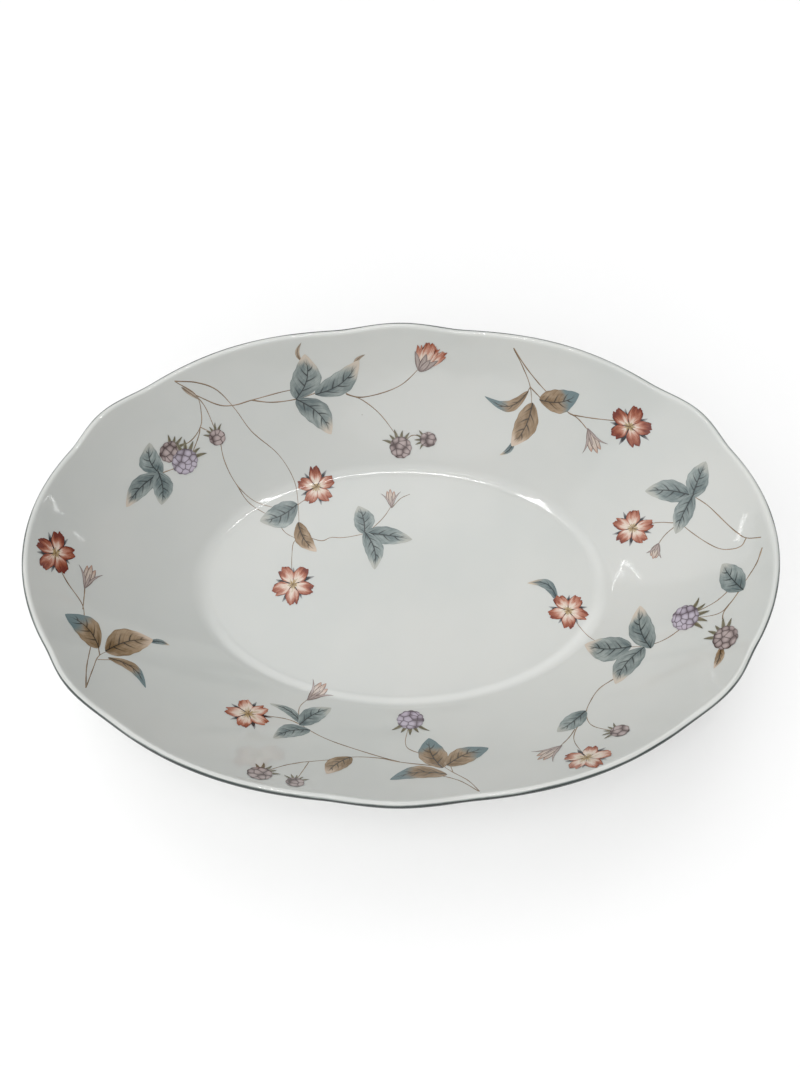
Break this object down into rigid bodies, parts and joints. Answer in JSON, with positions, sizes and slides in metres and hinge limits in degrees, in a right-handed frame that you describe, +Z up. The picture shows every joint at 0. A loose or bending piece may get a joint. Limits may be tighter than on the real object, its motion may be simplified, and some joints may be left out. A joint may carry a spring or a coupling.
{
  "type": "serving bowl",
  "caption": "Open oval porcelain serving bowl with a lobed rim, a sloping wall, a flat oval well and a foot ring, decorated inside with flower sprays.",
  "frame": {"origin": "on the table, under the middle of the bowl", "axes": "+X along the bowl's long axis, +Y across it, +Z up out of the bowl"},
  "size_m": [0.281, 0.1896, 0.0622],
  "materials": {
    "glazed_porcelain": "clear glossy glaze over off-white porcelain",
    "bare_porcelain": "unglazed, wiped smooth, matt",
    "rim_line_enamel": "dark grey-green line fired into the glaze, glossy",
    "transfer_colours": "printed flower colours fired into the glaze, glossy"
  },
  "bodies": {
    "root": {"bowl_body": "glazed_porcelain", "foot_ring": "bare_porcelain", "rim_line": "rim_line_enamel", "transfer_back_left": "transfer_colours", "transfer_back_right": "transfer_colours", "transfer_right_end": "transfer_colours", "transfer_front_right": "transfer_colours", "transfer_front": "transfer_colours", "transfer_left_end": "transfer_colours"}
  },
  "joints": []
}
